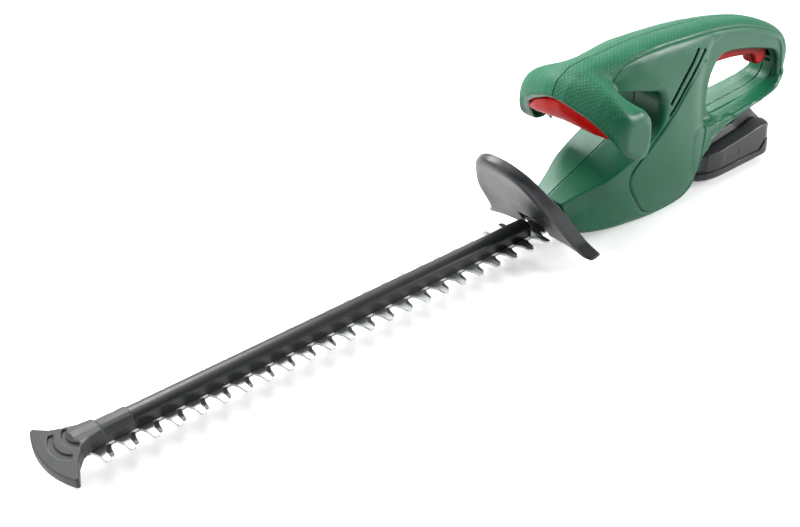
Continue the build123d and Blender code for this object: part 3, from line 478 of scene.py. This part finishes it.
def housing_field(h):
    b = (234.0, 564.0, -68.0, 2.0, -23.0, 147.0)
    X, Y, Z, ax = grid(b, h)
    A = np.abs(Y)
    X2, Z2 = X[:, 0, :], Z[:, 0, :] * np.ones_like(X[:, 0, :])
    X2 = X2 * np.ones_like(Z2)

    def up(f):
        return f[:, None, :]

    dc = line_d(X2, Z2, smooth_curve(CREASE, closed=False, n=6))
    # --- pod
    S = poly_sd(X2, Z2, smooth_curve(POD_OUT, n=4))
    W = rbf(W_SAMPLES)(X2, Z2)
    nose = sstep(-X2, -345, -322) * sstep(Z2, 12, 24)
    kk = 8.0 - 6.4 * nose
    kk = np.maximum(kk - 4.0 * sstep(Z2, 92, 100) * sstep(-X2, -352, -335), 1.6)
    tilt = 0.15 * sstep(-X2, -352, -320) * sstep(-Z2, -100, -70)
    pod = smax(A - up(W), up(S) + up(tilt) * A * sstep(up(Z2), 5, 20), up(kk))
    pod = smax(pod, (238.7 + 0.02 * A + 0.0008 * A ** 2 + 0.29 * (25.0 - Z) - X) * 0.95, 0.9)
    # --- spine and rear handle
    So = poly_sd(X2, Z2, smooth_curve(T_OUT, n=4))
    Di = -poly_sd(X2, Z2, smooth_curve(D_IN, n=5))
    Ws = np.interp(X2, [262, 300, 330, 390, 430, 470, 520, 556], [21.0, 22.6, 24.0, 23.6, 21.2, 20.0, 19.4, 17.6])
    sp_f = ((A / up(Ws)) ** 2.4 + np.clip(1 + up(So) / 16.0, 0, None) ** 2.4) ** (1 / 2.4) - 1
    spine = sp_f * 16.0
    # --- tail over the battery
    TAIL = smooth_curve([(396, 6), (394, 44), (420, 44.5), (446, 42.6), (480, 43.8), (514, 46.5), (534, 50), (548, 56), (546, 47), (536, 42.6), (522, 41.2), (507, 39.4), (489, 37.4), (468, 33.8), (445, 29.0), (429, 23.6), (419, 15.5)], n=4)
    St = poly_sd(X2, Z2, TAIL)
    Wt = np.interp(X2, [398, 409, 420, 435, 450, 500, 522, 534, 545, 555], [36, 34.8, 33.0, 30.0, 28.6, 28.2, 26.4, 23.6, 19.0, 17.0])
    tail = smax(A - up(Wt), up(St) + 0.06 * np.maximum(A - 16, 0), 3.0)
    F = smin(pod, spine, 3.5)
    F = smin(F, tail, 6.0)
    # --- front bail: sections interpolated along |y|
    ts = np.array([s[0] for s in BAIL], float)
    PP = np.array([s[1] for s in BAIL], float)
    bail = np.full(F.shape, 40.0)
    cav = np.full(F.shape, 40.0)
    ix = np.where((ax[0] > 236) & (ax[0] < 318))[0]
    iz = np.where((ax[2] > 52) & (ax[2] < 147))[0]
    xs, zs = ax[0][ix][:, None], ax[2][iz][None, :]
    for j, y in enumerate(ax[1]):
        t = min(abs(y), 67.0)
        sec = np.array([[np.interp(t, ts, PP[:, k, c]) for c in (0, 1)] for k in range(PP.shape[1])])
        curve = smooth_curve(sec, n=4)
        d = poly_sd(xs * np.ones_like(zs), zs * np.ones_like(xs), curve)
        bail[np.ix_(ix, [j], iz)] = d[:, None, :]
        # channel, open underneath
        lip_f, lip_r = sec[0], sec[7]
        inset = d + 2.6
        low = np.interp(xs, [lip_f[0], lip_r[0]], [lip_f[1], lip_r[1]]) + 4.0 - zs
        side = np.maximum(lip_f[0] + 2.6 - xs, xs - (lip_r[0] - 2.6))
        cav[np.ix_(ix, [j], iz)] = np.minimum(inset, np.maximum(side, -low))[:, None, :]
    bail = smax(bail, A - 64.2, 7.0)
    F = smin(F, bail, 4.5)
    # --- openings
    F = smax(F, up(Di), 5.0)
    F = normalise(F, h)
    outer = F.copy()
    # seams, panel and rim lines in the surface
    sp = poly_sd(X2, Z2, smooth_curve(PANEL, n=5))
    side_m = up(sstep(-Z2, -126, -112) * sstep(-X2, -428, -414)) * (A > 17)
    F = F - side_m * up(1.0 * sstep(-sp, 0.0, 5.0) - 1.7 * np.exp(-((sp - 0.2) / 1.15) ** 2))
    F = F + 0.85 * np.exp(-(up(dc) / 0.8) ** 2) * (A > 12)
    rim = line_d(X2, Z2, smooth_curve(RIM, closed=False, n=6))
    face = poly_sd(X2, Z2, smooth_curve(RIM + [(541, 50), (528, 47), (500, 44), (460, 40), (430, 38), (419, 50), (417, 78)], n=4))
    F = F - 0.9 * np.exp(-(up(rim) / 1.1) ** 2) * (A > 12) + up(1.3 * sstep(-face, 0.3, 2.4)) * (A > 12)
    edge = line_d(X2, Z2, smooth_curve([(401, -3), (405.5, 10), (412.5, 21.5), (424, 27.6), (440, 32.2), (466, 37.6), (488, 41.0), (507, 43.2), (524, 45.4), (538, 49.5), (547, 57), (550.5, 70), (549.5, 84), (540, 96)], closed=False, n=6))
    F = F + (0.8 * np.exp(-(up(edge) / 0.7) ** 2) - 0.35 * np.exp(-((up(edge) - 1.5) / 0.7) ** 2)) * (A > 9)
    # release recess on the flank above the battery
    rec = smooth_curve([(424.0, 27.5), (420.6, 32.0), (424.3, 35.4), (435.5, 37.6), (447, 41.6), (454.1, 42.6), (460, 40.6), (465, 35.9), (449.4, 32.4), (436, 28.8)], n=3)
    sr = poly_sd(X2, Z2, rec)
    F = smax(F, up(1.25 * sstep(-sr, 0.0, 1.6)) * sstep(A, 21.0, 24.0) + outer, 0.3)
    # hollow inside
    F = np.maximum(F, -(outer + 3.8))
    # bail channel and ribs
    cav = np.maximum(cav, A - 60.0)
    ribs = np.full(F.shape, 40.0)
    for yr in (49.5, 52.7, 55.9):
        ribs = np.minimum(ribs, np.abs(A - yr) - 0.7)
    ribs = np.maximum(ribs, up(np.interp(X2, [258, 303], [92, 76])) - Z)
    ribs = np.maximum(ribs, outer)
    F = np.maximum(F, -np.maximum(cav, -ribs))
    # battery bay, contact window, nose mouth, trigger slot
    bay = poly_sd(X2, Z2, [(403.2, -30), (403.2, 36.6), (444, 38.6), (500, 41.2), (528, 42.0), (548, 30), (548, -30)])
    F = np.maximum(F, -np.maximum(up(bay), A - 21.0))
    bat = poly_sd(X2, Z2, [(404.6, -30), (404.6, 12), (408.3, 15.5), (416, 18.2), (440, 22.6), (470, 27.2), (482, 33.8), (496, 36.0), (516, 36), (560, 36), (560, -30)])
    F = np.maximum(F, -up(bat))
    F = np.maximum(F, -np.maximum(np.maximum(np.abs(X - 402) - 10, A - 17.6), np.maximum(23.4 - Z, Z - 36)))
    F = np.maximum(F, -np.maximum(np.maximum(np.abs(X - 243.5) - 18.5, A - 13), np.maximum(-12.5 - Z, Z - 12)))
    slot2 = poly_sd(X2, Z2, [(440, 84), (440, 113), (464, 114), (500, 104), (524, 100), (541, 92), (541, 66), (505, 60), (470, 62)])
    F = np.maximum(F, -np.maximum(up(slot2), A - 8.8))
    # slanted louvres
    for xa, za, xb, zb in ((358.7, 85.2, 404.8, 122.4), (356.2, 74.4, 414.5, 119.2)):
        L = math.hypot(xb - xa, zb - za)
        ux, uz = (xb - xa) / L, (zb - za) / L
        al = (X2 - xa) * ux + (Z2 - za) * uz
        ac = -(X2 - xa) * uz + (Z2 - za) * ux
        v = np.maximum(np.abs(ac) - 1.6, np.maximum(-al, al - L))
        F = np.maximum(F, -np.maximum(up(v), 14.0 - A))
    # each half stops short of the parting plane
    F = np.maximum(F, Y + 0.12)
    return F, ax, X, Y, Z


def grip_attribute(ob):
    """Surface map for the dot texture: u along the part, v across it, and a mask of the grip zones."""
    me = ob.data
    n = len(me.vertices)
    co = np.zeros(n * 3, np.float32)
    me.vertices.foreach_get("co", co)
    co = co.reshape(-1, 3).astype(float) * 1000.0
    x, y, z = co[:, 0] - DX, co[:, 1], co[:, 2] - DZ
    no = np.zeros(n * 3, np.float32)
    me.vertices.foreach_get("normal", no)
    no = no.reshape(-1, 3)
    a = np.abs(y)
    # arc length over the drooping arms of the bail
    yy = np.array([0, 12, 24, 36, 48, 58, 66.0])
    zz = np.array([141.4, 140.6, 137.0, 131, 123, 115.8, 109.4])
    s = np.concatenate([[0], np.cumsum(np.hypot(np.diff(yy), np.diff(zz)))])
    v_bail = np.interp(a, yy, s)
    v_spine = a + 0.85 * np.clip(138 - z, 0, 40) * 0.35
    is_bail = np.clip((318 - x) / 20.0, 0, 1)
    v = np.sign(y) * np.where(is_bail > 0.5, v_bail, v_spine)
    u = np.where(x < 262, 262 - (262 - x) - 0.6 * np.clip(132 - z, 0, 60), x)
    crease = np.array(CREASE)
    zc = np.interp(x, crease[:, 0], crease[:, 1])
    zc = np.where(a > 23.5, 200.0, zc)
    top = np.clip((z - zc - 1.2) / 1.5, 0, 1) * np.clip((520 - x) / 25, 0, 1) * np.clip((no[:, 2] + 0.15) / 0.2, 0, 1)
    bail = ((x < 296) | (z > zc)) * (x < 318) * np.clip((no[:, 2] * 0.9 - no[:, 0] * 0.5 + 0.02) / 0.25, 0, 1) * np.clip((z - 78) / 8, 0, 1) * np.clip((61 - a) / 5.0, 0, 1) * (z > 60)
    mask = np.where(x < 300, bail, np.maximum(top, bail * (x < 318)))
    mask = mask * (np.where(x > 240, 1, 0))
    vec = np.stack([u, v, mask], 1).astype(np.float32)
    at = me.attributes.new("grip_map", "FLOAT_VECTOR", "POINT")
    at.data.foreach_set("vector", vec.ravel())


H = 0.8
F, ax, GX, GY, GZ = housing_field(H)
left = mesh_from("housing_left_shell", F, ax, H, GREEN)
# screw recesses are on the +Y half only
Fr = F
for bx, bz in [(272, 14), (268, 28), (394, 2), (399, 88), (357, 92), (316, 127), (432, 124), (548, 80), (545, 58), (386, 130)]:
    cylr = np.hypot(GX - bx, GZ - bz)
    boss = np.maximum(np.maximum(cylr - 4.6, F * 0 + (-GY) * 0), 0 * GY)
    Fr = np.maximum(Fr, -np.maximum(cylr - 3.4, 12.6 + GY))
right = mesh_from("housing_right_shell", Fr, ax, H, GREEN, mirror=True)
for o, node in ((left, "housing_left"), (right, "housing_right")):
    grip_attribute(o)
    place(o, "housing", "green_plastic", node)

# ------------------------------------------------------------------ hand guard
G_OUT = [(0, 80.6), (9, 79.8), (18, 76.8), (26.5, 71.4), (33, 63.4), (38, 54.5), (42.4, 46), (45.4, 38), (47.4, 28.9), (49.0, 18.5), (51.4, 7), (55.0, 0), (61.0, -7.5), (66, -13), (60, -30), (0, -30)]


def guard_field(h):
    b = (160.0, 256.0, -66.5, 66.5, -17.0, 86.0)
    X, Y, Z, ax = grid(b, h)
    A = np.abs(Y)
    outline = smooth_curve([(-y, z) for y, z in G_OUT[::-1]] + G_OUT[1:-1], n=5)
    So = poly_sd(Y[0] * np.ones_like(Z[0]), Z[0] * np.ones_like(Y[0]), outline)[None]
    xr = X - (220.0 - 0.64 * Z)
    inn = np.clip(-So, 0, 60)
    dish = 5.2 * (1 - np.exp(-inn / 9.0))
    side = So - 0.24 * xr
    front = (dish - xr) * 0.84
    Fo = smax(side, front, 12.0 - 7.0 * sstep(-Z, -68, -25))
    Fo = normalise(Fo, h)
    Fi = Fo + 3.0
    F = np.maximum(Fo, -np.maximum(Fi, -1e3 + 0 * X))
    F = np.maximum(Fo, -Fi)
    F = np.maximum(F, (xr - 16.0) * 0.84)
    cut = -2.6 - 5.2 * (A / 61.0) ** 2.5 - 0.22 * np.clip(xr, 0, 16)
    F = smax(F, (cut - Z) * 0.95, 0.8)
    # passage for the cover bar and the blade
    F = np.maximum(F, -np.maximum(A - 13, np.maximum(-8 - Z, Z - 14)))
    F = np.maximum(F, -np.maximum(A - 16, np.maximum(-8 - Z, Z - 2.5)))
    F = np.maximum(F, A - 64.0)
    return F, ax


F, ax = guard_field(0.75)
place(mesh_from("guard_shell", F, ax, 0.75, GUARD, smooth_angle=50), "housing", "black_plastic", "hand_guard")

# ------------------------------------------------------------------ cover bar
prof = [(0, 12.6), (1.6, 12.5), (3.0, 12.25), (4.3, 11.8), (5.4, 11.2), (6.4, 10.5), (7.2, 9.75), (7.75, 9.05), (7.95, 8.6), (8.0, 8.35), (8.28, 8.25), (8.4, 8.05), (8.4, 0.5), (8.2, 0.12)]
prof = [(-y, z) for y, z in prof[::-1]] + prof[1:]
xs_bar = [-181.5, -181.1, -60, 60, 211.4, 211.9]
inset_bar = [0.4, 0.0, 0, 0, 0.0, 0.4]
V, Q = [], []
for x, i in zip(xs_bar, inset_bar):
    V += [(x, y * (1 - i / 9.0), 0.12 + (z - 0.12) * (1 - i / 12.0)) for y, z in prof]
n = len(prof)
for k in range(len(xs_bar) - 1):
    Q += [(k * n + i, k * n + i + 1, (k + 1) * n + i + 1, (k + 1) * n + i) for i in range(n - 1)]
    Q.append((k * n + n - 1, k * n, (k + 1) * n, (k + 1) * n + n - 1))
Q.append(tuple(range(n - 1, -1, -1)))
Q.append(tuple((len(xs_bar) - 1) * n + i for i in range(n)))
place(add_mesh("cover_bar", V, Q, BAR_BLACK, 30), "housing", "black_plastic", "blade_cover")


# ------------------------------------------------------------------ tip guard
def tip_field(h):
    b = (-254.0, -179.0, -40.0, 40.0, -4.5, 15.5)
    X, Y, Z, ax = grid(b, h)
    A = np.abs(Y)
    X3 = X * np.ones_like(Y)
    sec = [(-9.2, -1), (-9.2, 7.4), (-8.4, 9.6), (-6.4, 11.9), (-3.4, 13.2), (0, 13.6), (3.4, 13.2), (6.4, 11.9), (8.4, 9.6), (9.2, 7.4), (9.2, -1)]
    ss = poly_sd(Y[0] * np.ones_like(Z[0]), Z[0] * np.ones_like(Y[0]), sec)[None]
    sleeve = np.maximum(ss, np.maximum(-226 - X, X + 181.5))
    fan = [(-206, -9.2), (-217, -10.5), (-225, -14.5), (-232.5, -23.0), (-238.6, -34.5)]
    arc = [(-251.0 + 84.0 - math.sqrt(84.0 ** 2 - (36.2 * i / 12) ** 2), 36.2 * i / 12) for i in range(-12, 13)]
    fan += [(-239.6, -36.6)] + arc + [(-239.6, 36.6)] + [(x, -y) for x, y in fan[::-1]]
    sf = poly_sd(X3[:, :, 0], (Y * np.ones_like(X))[:, :, 0], fan)[:, :, None]
    sf = sf + 1.2 * sstep(sf, -1.5, 0.5)
    ztop = np.interp(X, [-254, -249, -224, -180], [2.4, 4.7, 13.2, 13.2]) - 0.06 * A
    zbot = np.interp(X, [-252, -238, -233, -224], [-2.8, -2.6, 0.1, 0.1])
    fanb = smax(sf, (Z - ztop) * 0.94, 1.4)
    fanb = smax(fanb, zbot - Z, 0.8)
    F = smin(sleeve, fanb, 3.0)
    F = np.maximum(F, np.maximum(-2.8 - Z, (0.1 - Z) * (X > -233) - 10 * (X <= -233)))
    # curved recesses in the paddle's face
    r = np.hypot(X + 216.0, Y) * np.ones_like(Z)
    ang = np.degrees(np.arctan2(A, -(X + 216.0))) * np.ones_like(Z)
    for r0, r1, a1 in ((13.0, 16.8, 50), (22.3, 26.8, 41)):
        rec = smax(np.maximum(r0 - r, r - r1), (ang - a1) * np.pi / 180 * (r0 + r1) / 2, 0.8)
        F = np.maximum(F, -np.maximum(rec, (ztop - 1.7) - Z))
    # ledge line along the sleeve
    F = F + 0.3 * np.exp(-((Z - 8.6) / 0.45) ** 2) * (A > 7) * (X > -222)
    return F, ax


F, ax = tip_field(0.5)
place(mesh_from("tip_paddle", F, ax, 0.5, TIP_GREY, smooth_angle=35), "housing", "grey_plastic", "tip_guard")


# ------------------------------------------------------------------ front switch bar
BAR = [(0, [(254.8, 97.5), (264, 90.0), (282, 90), (286, 114), (270, 119), (253.2, 113)]),
       (20, [(256.0, 95.5), (265, 88.6), (283, 90), (287.5, 111), (272, 115), (256, 109)]),
       (34, [(258.4, 92.5), (267, 87.2), (285, 90), (289, 105), (274, 110), (259.5, 104.5)]),
       (46, [(263, 88.6), (274, 86.8), (286, 90), (288, 98), (277, 102), (265, 99)]),
       (56, [(267, 88.6), (276, 87.4), (286, 89.5), (287.5, 94.5), (280, 96.5), (269, 94.5)])]


def bar_field(h):
    b = (250.0, 293.0, -58.5, 58.5, 84.0, 121.5)
    X, Y, Z, ax = grid(b, h)
    ts = np.array([q[0] for q in BAR], float)
    PP = np.array([q[1] for q in BAR], float)
    F = np.full(np.broadcast(X, Y, Z).shape, 5.0)
    xs, zs = X[:, 0, :] * np.ones_like(Z[:, 0, :]), Z[:, 0, :] * np.ones_like(X[:, 0, :])
    for j, y in enumerate(ax[1]):
        t = min(abs(y), 56.0)
        sec = np.array([[np.interp(t, ts, PP[:, k, c]) for c in (0, 1)] for k in range(6)])
        F[:, j, :] = poly_sd(xs, zs, smooth_curve(sec, n=5))
    F = smax(F, np.abs(Y) - 49.0, 5.0)
    F = normalise(F, h)
    return F, ax


F, ax = bar_field(0.8)
place(mesh_from("front_bar_skin", F, ax, 0.8, RED, smooth_angle=45), "front_bar", "red_plastic", "front_switch_bar")


# ------------------------------------------------------------------ rear trigger
TRIG = [(444, 109), (444, 92), (449.5, 88.6), (458, 88.4), (479, 86.2), (495, 83.4), (508.5, 80.2), (512.5, 76), (514.6, 70.5), (520.6, 67.3), (528, 68.2), (532.6, 73), (532, 80), (528.8, 87), (519, 94), (500, 99), (484, 101.5), (465, 105), (456, 110)]


def trigger_field(h):
    b = (441.0, 536.0, -10.0, 10.0, 64.0, 113.0)
    X, Y, Z, ax = grid(b, h)
    A = np.abs(Y)
    xs, zs = X[:, 0, :] * np.ones_like(Z[:, 0, :]), Z[:, 0, :] * np.ones_like(X[:, 0, :])
    S = poly_sd(xs, zs, smooth_curve(TRIG, n=4))[:, None, :]
    F = smax(S + 0 * A, A - 8.0, 4.0)
    F = normalise(F, h)
    return F, ax


F, ax = trigger_field(0.6)
place(mesh_from("trigger_skin", F, ax, 0.6, RED_SHADED, smooth_angle=45), "trigger", "red_plastic", "rear_trigger")


# ------------------------------------------------------------------ battery
B_PLAN = [(405.8, 0), (405.8, -19), (407.6, -25.5), (411.6, -31), (419, -35), (428, -37.2), (436, -38), (460, -38), (502, -38), (508, -36.2), (511.2, -32), (512, -24), (512, 0),
          (512, 24), (511.2, 32), (508, 36.2), (502, 38), (460, 38), (436, 38), (428, 37.2), (419, 35), (411.6, 31), (407.6, 25.5), (405.8, 19)]
Z_RIDGE = ([405, 416, 440, 475, 488, 494, 500, 512], [10.5, 13.5, 16.5, 20.5, 24.4, 25.6, 23.6, 18.5])
Z_EDGE = ([405, 416, 435, 468, 500, 506, 512], [9.5, 11.0, 13.0, 16.3, 19.0, 18.4, 16.0])
Z_MID = ([405, 416, 440, 470, 480, 492, 499, 506, 512], [15.0, 20.0, 23.0, 26.0, 31.0, 33.5, 32.0, 25.0, 19.5])


def battery_field(h):
    b = (403.0, 514.5, -40.0, 40.0, -17.0, 38.0)
    X, Y, Z, ax = grid(b, h)
    A = np.abs(Y)
    XY = X * np.ones_like(Y)
    P = poly_sd(XY[:, :, 0], (Y * np.ones_like(X))[:, :, 0], B_PLAN)[:, :, None]
    zr, ze, zm = (np.interp(X, *q) for q in (Z_RIDGE, Z_EDGE, Z_MID))
    knots = [0, 19.5, 22.6, 25.4, 27.0, 38.0, 44.0]
    vals = [zm, zm - 0.6, zr - 1.0, zr + 0.7, zr + 0.4, ze, ze - 8]
    zt = np.zeros(XY.shape[:2] + (1,))
    for k in range(len(knots) - 1):
        t = (A - knots[k]) / (knots[k + 1] - knots[k])
        seg = vals[k] * (1 - t) + vals[k + 1] * t
        m = (A >= knots[k]) & (A < knots[k + 1])
        zt = np.where(m, seg, zt)
    zt = np.where(A >= 44, vals[-1] + 0 * A, zt)
    # fluted front corners
    flute = 0.9 * (0.5 + 0.5 * np.cos((A - 24.0) * 2 * np.pi / 7.0)) * sstep(-X, -434, -426) * sstep(A, 18, 22) * sstep(Z, -4.5, -2.5)
    body = smax(P + 1.0 + flute, (Z - zt) * 0.85, 1.4)
    base = np.maximum(P + 0.0, smax(-15.0 - Z, P - 0.9 * (Z + 15.0) + 3.2, 2.0))
    xz = poly_sd(X[:, 0, :] * np.ones_like(Z[:, 0, :]), Z[:, 0, :] * np.ones_like(X[:, 0, :]), [(400, -5.2), (494.5, -5.9), (502.5, 2.4), (518, 2.4), (518, -20), (400, -20)])[:, None, :]
    low = smax(base, xz, 0.8)
    up_ = np.maximum(body, -(xz - 0.25))
    # rails' head block on top, hidden inside the handle base
    head = np.maximum(np.maximum(np.abs(X - 441) - 29.5, A - 16.8), np.maximum(20 - Z, Z - 34.6))
    head = np.maximum(head, -np.maximum(np.abs(Z - 27.2) - 1.9, 14.6 - A))
    up_ = np.minimum(up_, head)
    # badge recess on the near and far face, left blank
    badge = smax(np.abs((X - 452) * 0.985 + (Z - 1.5) * 0.09) - 10.5, np.abs(Z - 4.0 - (X - 452) * 0.06) - 3.4, 2.5)
    up_ = np.maximum(up_, -np.maximum(badge, -(P + 1.5)))
    up_ = np.maximum(up_, -np.maximum(np.maximum(P + 3.4, Z - (zt - 3.0)), 2.0 - Z - 10))
    low = np.maximum(low, -np.maximum(P + 3.4, -12.6 - Z))
    return low, up_, ax


lowF, upF, ax = battery_field(0.7)
hb = 0.7
place(mesh_from("battery_base", lowF, ax, hb, BATT_DARK, smooth_angle=35), "battery", "black_plastic", "battery_case_lower")
place(mesh_from("battery_cover", upF, ax, hb, BATT_DARK, smooth_angle=35), "battery", "black_plastic", "battery_case_upper")

# soft edges on the parts used as they are
for name, wdt, seg in (("comb_blade", 0.28, 2), ("cutter_blade", 0.25, 1), ("guard_bracket", 0.5, 2), ("battery_release_button", 0.8, 3)):
    ob = NODES[name]
    wl = ob.modifiers.new("weld", "WELD")
    wl.merge_threshold = 0.00002
    bv = ob.modifiers.new("bevel", "BEVEL")
    bv.width = wdt / 1000.0
    bv.segments = seg
    bv.limit_method = "ANGLE"
    bv.angle_limit = math.radians(40)
    bv.harden_normals = False
